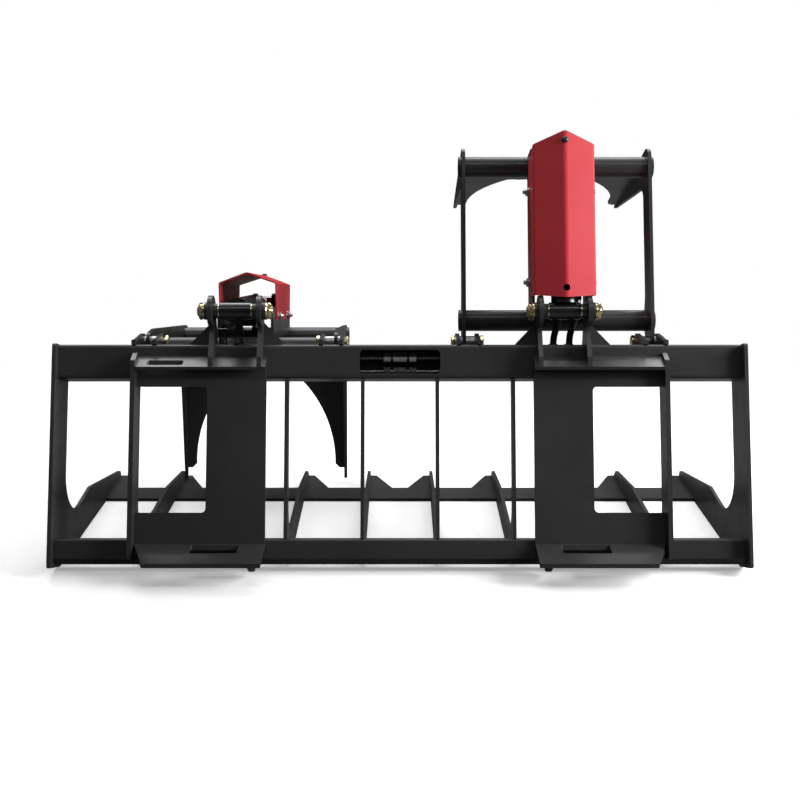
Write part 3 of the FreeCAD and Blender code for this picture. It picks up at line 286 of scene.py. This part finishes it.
# Rings are (place along X, round radius, width across flats or None for a round ring).
def turned_mesh(name, rings):
    form = bmesh.new()
    loops = []
    for along, radius, across in rings:
        loop = []
        for step in range(RING_STEPS):
            angle = step * math.tau / RING_STEPS
            reach = radius
            if across is not None:
                flat_angle = (angle % (math.pi / 3)) - math.pi / 6
                reach = min(radius, across / 2 / math.cos(flat_angle))
            loop.append(form.verts.new((along, reach * math.cos(angle), reach * math.sin(angle))))
        loops.append(loop)
    for first, second in zip(loops, loops[1:]):
        for step in range(RING_STEPS):
            after = (step + 1) % RING_STEPS
            form.faces.new((first[step], first[after], second[after], second[step]))
    form.faces.new(loops[0][::-1])
    form.faces.new(loops[-1])
    bmesh.ops.recalc_face_normals(form, faces=form.faces)
    made = bpy.data.meshes.new(name)
    form.to_mesh(made)
    form.free()
    return made


def hex_rings(low, high, across, chamfer):
    round_end, corner = across * 0.48, across / 2 / math.cos(math.pi / 6)
    steps = [(0.0, round_end), (chamfer * 0.35, (round_end + corner) / 2), (chamfer, corner)]
    rings = [(low + depth, radius, across) for depth, radius in steps]
    return rings + [(high - depth, radius, across) for depth, radius in steps[::-1]]


def thread_rings(low, high, radius, pitch):
    rings, along = [], low
    while along < high - pitch:
        rings += [(along, radius * 0.92, None), (along + pitch / 2, radius, None)]
        along += pitch
    return rings + [(high - pitch / 2, radius * 0.92, None), (high, radius * 0.8, None)]


# One tree sets a fastener on every point, turned about X by a fixed seed and flipped to its side.
fasten = bpy.data.node_groups.new("set_fasteners", "GeometryNodeTree")
for label, kind in (("Places", "NodeSocketGeometry"), ("Fastener", "NodeSocketObject"),
                    ("Finish", "NodeSocketMaterial"), ("Seed", "NodeSocketInt")):
    fasten.interface.new_socket(label, in_out="INPUT", socket_type=kind)
fasten.interface.new_socket("Geometry", in_out="OUTPUT", socket_type="NodeSocketGeometry")
given = fasten.nodes.new("NodeGroupInput")
result = fasten.nodes.new("NodeGroupOutput")
fastener = fasten.nodes.new("GeometryNodeObjectInfo")
fasten.links.new(given.outputs["Fastener"], fastener.inputs["Object"])
flip = fasten.nodes.new("GeometryNodeInputNamedAttribute")
flip.data_type = "FLOAT"
flip.inputs["Name"].default_value = "flip"
chance = fasten.nodes.new("FunctionNodeRandomValue")
chance.data_type = "FLOAT"
chance.inputs["Max"].default_value = 1.047
fasten.links.new(given.outputs["Seed"], chance.inputs["Seed"])
turn_to = fasten.nodes.new("ShaderNodeCombineXYZ")
fasten.links.new(chance.outputs[1], turn_to.inputs["X"])
fasten.links.new(flip.outputs["Attribute"], turn_to.inputs["Z"])
stand = fasten.nodes.new("GeometryNodeInstanceOnPoints")
fasten.links.new(given.outputs["Places"], stand.inputs["Points"])
fasten.links.new(fastener.outputs["Geometry"], stand.inputs["Instance"])
fasten.links.new(turn_to.outputs[0], stand.inputs["Rotation"])
realize = fasten.nodes.new("GeometryNodeRealizeInstances")
fasten.links.new(stand.outputs[0], realize.inputs[0])
coated = fasten.nodes.new("GeometryNodeSetMaterial")
fasten.links.new(realize.outputs[0], coated.inputs["Geometry"])
fasten.links.new(given.outputs["Finish"], coated.inputs["Material"])
fasten.links.new(coated.outputs[0], result.inputs[0])


def plain_mesh(item, name):
    bpy.context.view_layer.update()
    made = bpy.data.meshes.new_from_object(item.evaluated_get(bpy.context.evaluated_depsgraph_get()))
    made.name = name
    return made


def set_fasteners(name, body, mesh, places, finish, seed):
    pattern = object_of(f"{name}_pattern", mesh)
    points = bpy.data.meshes.new(f"{name}_places")
    points.from_pydata([tuple(place) for place, _ in places], [], [])
    flips = points.attributes.new("flip", "FLOAT", "POINT")
    flips.data.foreach_set("value", [0.0 if side > 0 else math.pi for _, side in places])
    carrier = object_of(f"{name}_carrier", points)
    modifier = carrier.modifiers.new("fasteners", "NODES")
    modifier.node_group = fasten
    sockets = {item.name: item.identifier for item in fasten.interface.items_tree if item.in_out == "INPUT"}
    modifier[sockets["Fastener"]] = pattern
    modifier[sockets["Finish"]] = finish
    modifier[sockets["Seed"]] = seed
    item = object_of(name, plain_mesh(carrier, name))
    for spare in (carrier, pattern):
        bpy.data.objects.remove(spare)
    item.data.shade_smooth()
    item.data.set_sharp_from_angle(angle=math.radians(35.0))
    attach(item, body)
    return item


bright_zinc = finish_material("bright_zinc", (0.55, 0.55, 0.56), (0.75, 0.75, 0.76), 0.25, metallic=1.0,
                              patch=40.0)
yellow_zinc = finish_material("yellow_zinc", (0.78, 0.68, 0.38), (0.92, 0.86, 0.60), 0.22, metallic=1.0,
                              patch=60.0)
PIN_RADIUS, NUT_ACROSS, NUT_FACE, NUT_HEIGHT = 0.0125, 0.034, 0.067, 0.012
nut_mesh = turned_mesh("flanged_nut", [(0.0, 0.0188, None), (0.0016, 0.0188, None), (0.0034, 0.0172, None)]
                       + hex_rings(0.0034, NUT_HEIGHT, NUT_ACROSS, 0.003)
                       + thread_rings(NUT_HEIGHT, 0.016, PIN_RADIUS * 0.9, 0.0015))
WASHER_IN, WASHER_OUT, COLLAR_OUT = 0.0343, 0.0373, 0.048
shank_mesh = turned_mesh("base_pin_half", [(0.0, PIN_RADIUS, None), (WASHER_IN, PIN_RADIUS, None),
                                           (WASHER_IN, 0.0160, None), (WASHER_IN + 0.0005, 0.0165, None),
                                           (WASHER_OUT - 0.0005, 0.0165, None), (WASHER_OUT, 0.0160, None),
                                           (WASHER_OUT, PIN_RADIUS, None), (NUT_FACE, PIN_RADIUS, None)])
collar_mesh = turned_mesh("base_pin_collar", [
    (WASHER_OUT, 0.0155, None), (WASHER_OUT + 0.0008, 0.0163, None),
    (COLLAR_OUT - 0.0008, 0.0163, None), (COLLAR_OUT, 0.0155, None)])
HEAD_ACROSS, HEAD_HEIGHT, PIVOT_INNER, PIVOT_OUTER = 0.028, 0.008, 0.177, 0.235
pivot_head = turned_mesh("pivot_head", hex_rings(0.0, HEAD_HEIGHT, HEAD_ACROSS, 0.002))
pivot_shank = turned_mesh("pivot_shank", [(0.0, 0.01, None), (PIVOT_OUTER - PIVOT_INNER, 0.01, None)])
bolt_head = turned_mesh("bolt_head", [(0.0, 0.0100, None), (0.0003, 0.0104, None), (0.0017, 0.0104, None),
                                      (0.0020, 0.0100, None), (0.0020, 0.0082, None)]
                        + hex_rings(0.0020, 0.0080, 0.017, 0.0016)
                        + thread_rings(0.0080, 0.0140, 0.005, 0.0015))
bolt_thread = turned_mesh("bolt_thread", thread_rings(0.0, 0.018, 0.005, 0.0015))
GUARD_RIDGE, STOP_PLACE = 0.161, 0.423
GUARD_HALF, BOLT_OFFSET, BOLT_PLACES = 0.068, -0.058, (0.127, 0.335)
for name, side in SIDES.items():
    middle = side * LID_CENTRE
    base_at = Vector((middle, BASE_PIN.y, BASE_PIN.z))
    pin_nuts = set_fasteners(f"base_pin_nuts_{name}", "frame", nut_mesh.copy(),
                             [(base_at + Vector((flank * NUT_FACE, 0, 0)), flank) for flank in (-1, 1)],
                             yellow_zinc, 3)
    set_fasteners(f"base_pin_shank_{name}", "frame", shank_mesh.copy(), [(base_at, -1), (base_at, 1)],
                  yellow_zinc, 4)
    set_fasteners(f"base_pin_collars_{name}", "frame", collar_mesh.copy(), [(base_at, -1), (base_at, 1)],
                  black_coat, 9)
    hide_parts(f"base_pin_{name}")
    pivot_at = Vector((middle, PIVOT.y, PIVOT.z))
    heads = [(pivot_at + Vector((flank * PIVOT_OUTER, 0, 0)), flank) for flank in (-1, 1)]
    heads += [(pivot_at + Vector((flank * PIVOT_INNER, 0, 0)), -flank) for flank in (-1, 1)]
    pivot_heads = set_fasteners(f"pivot_heads_{name}", "frame", pivot_head.copy(), heads, yellow_zinc,
                                5)
    set_fasteners(f"pivot_shanks_{name}", "frame", pivot_shank.copy(),
                  [(pivot_at + Vector((flank * PIVOT_INNER, 0, 0)), flank) for flank in (-1, 1)],
                  yellow_zinc, 6)
    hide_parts(f"pivot_pins_{name}")
    lid_turn = LID_TURN[name]
    guard_spots = [(turned_spot(PIVOT, lid_turn, middle + flank * GUARD_HALF, along, BOLT_OFFSET), flank)
                   for flank in (-1, 1) for along in BOLT_PLACES]
    bolts = set_fasteners(f"guard_bolt_heads_{name}", f"lid_{name}", bolt_head.copy(), guard_spots,
                          bright_zinc, 7)
    set_fasteners(f"guard_bolt_threads_{name}", f"lid_{name}", bolt_thread.copy(),
                  [(place, -flank) for place, flank in guard_spots], bright_zinc, 8)
    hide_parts(f"guard_bolts_{name}")
    stop_at = turned_spot(PIVOT, lid_turn, middle, STOP_PLACE, -GUARD_RIDGE)
    outward = stop_at - turned_spot(PIVOT, lid_turn, middle, STOP_PLACE, 0.0)
    stop_mesh = turned_mesh(f"guard_stop_{name}", [
        (0.0, 0.0075, None), (0.0015, 0.0075, None), (0.0036, 0.0062, None),
        (0.0050, 0.0040, None), (0.0056, 0.0012, None)])
    upright = Vector((1.0, 0.0, 0.0)).rotation_difference(outward).to_matrix().to_4x4()
    stop_mesh.transform(Matrix.Translation(stop_at) @ upright)
    stop = object_of(f"guard_stop_{name}", stop_mesh)
    stop_mesh.materials.append(black_coat)
    stop_mesh.shade_smooth()
    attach(stop, f"lid_{name}")

# Hoses: rubber over steel braid, from the grommets in the top beam to the cylinder's ports. Each
# bends between the frame and its cylinder, and a crimped steel sleeve ends it at the port.
HOSE_DIAMETER = 0.015
BACK_ORIGIN = Vector((0.0, -MIDDLE_Y, CORNER_LIFT))
CYLINDER_TURN = {"left": math.radians(-99.0676), "right": math.radians(-25.5509)}
hose_rubber = finish_material("hose_rubber", (0.008, 0.008, 0.008), (0.014, 0.014, 0.014), 0.5, peel=900.0)
dress(hose_rubber, "hose_grommets")


def back_spot(x, height, depth):
    return turned_spot(BACK_ORIGIN, -RAKE, x, height, depth)


def hose_line(name, route):
    data = bpy.data.curves.new(name, "CURVE")
    data.dimensions = "3D"
    data.resolution_u = 16
    spline = data.splines.new("NURBS")
    spline.points.add(len(route) - 1)
    for point, place in zip(spline.points, route):
        point.co = (*place, 1.0)
    spline.order_u = 3
    spline.use_endpoint_u = True
    line = object_of(f"{name}_line", data)
    path = [tuple(vertex.co) for vertex in plain_mesh(line, f"{name}_path").vertices]
    data.bevel_depth = HOSE_DIAMETER / 2
    data.bevel_resolution = 6
    data.use_fill_caps = True
    hose = object_of(name, plain_mesh(line, name))
    bpy.data.objects.remove(line)
    hose.data.materials.clear()
    hose.data.materials.append(hose_rubber)
    hose.data.shade_smooth()
    return hose, path


SLEEVE_RADIUS, SLEEVE_LENGTH = 0.0096, 0.020
sleeve_profile = [(0.0, 0.0082, None), (0.001, SLEEVE_RADIUS, None), (0.006, SLEEVE_RADIUS, None),
                  (0.0065, 0.0091, None), (0.0085, 0.0091, None), (0.009, SLEEVE_RADIUS, None),
                  (0.0135, SLEEVE_RADIUS, None), (0.014, 0.0091, None), (0.016, 0.0091, None),
                  (0.0165, SLEEVE_RADIUS, None), (SLEEVE_LENGTH, SLEEVE_RADIUS, None)]
BEAM_TOP, HOSE_DEPTH = 0.490, 0.052
PORT_ALONG, PORT_REACH, PORT_HALF, HOSE_GAP = 0.0473, 0.050, 0.010, 0.0003
HOSES = {"inner": (0.4729, {"left": 0.0, "right": -0.018}, 0.0, 0.1220),
         "outer": (0.4409, {"left": 0.035, "right": 0.017}, 0.035, 0.1540)}
for name, side in SIDES.items():
    turn = CYLINDER_TURN[name]
    for hose_name, (foot, offsets, port_offset, real_length) in HOSES.items():
        beam_x = side * (LID_CENTRE + offsets[name])
        port_x = side * (LID_CENTRE + port_offset)
        start = back_spot(beam_x, foot, HOSE_DEPTH)
        if name == "right":
            end = turned_spot(BASE_PIN, turn, port_x, PORT_ALONG - PORT_HALF - HOSE_GAP, PORT_REACH)
            below = turned_spot(BASE_PIN, turn, port_x, PORT_ALONG - PORT_HALF - 0.026, PORT_REACH)
            shoulder = back_spot(beam_x + 0.5 * (port_x - beam_x), BEAM_TOP + 0.043, HOSE_DEPTH + 0.001)
            route = [start, back_spot(beam_x, BEAM_TOP + 0.015, HOSE_DEPTH), shoulder, below, end]
        else:
            end = turned_spot(BASE_PIN, turn, port_x, PORT_ALONG, PORT_REACH + PORT_HALF + HOSE_DIAMETER / 6)
            route = [start, start.lerp(end, 0.5), end]
        hose, path = hose_line(f"hose_{hose_name}_{name}_rubber", route)
        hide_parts(f"hose_{hose_name}_{name}")
        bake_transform(hose)
        back_way = (Vector(path[-2]) - Vector(path[-1])).normalized()
        sleeve_length = SLEEVE_LENGTH if name == "right" else SLEEVE_LENGTH * 0.6
        sleeve_mesh = turned_mesh("sleeve", [(place * sleeve_length / SLEEVE_LENGTH, radius, across)
                                             for place, radius, across in sleeve_profile])
        facing = Vector((1.0, 0.0, 0.0)).rotation_difference(back_way).to_matrix().to_4x4()
        sleeve_mesh.transform(Matrix.Translation(end) @ facing)
        sleeve = object_of(f"hose_sleeve_{hose_name}_{name}", sleeve_mesh)
        sleeve_mesh.materials.append(dark_steel)
        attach(sleeve, f"cylinder_{name}")
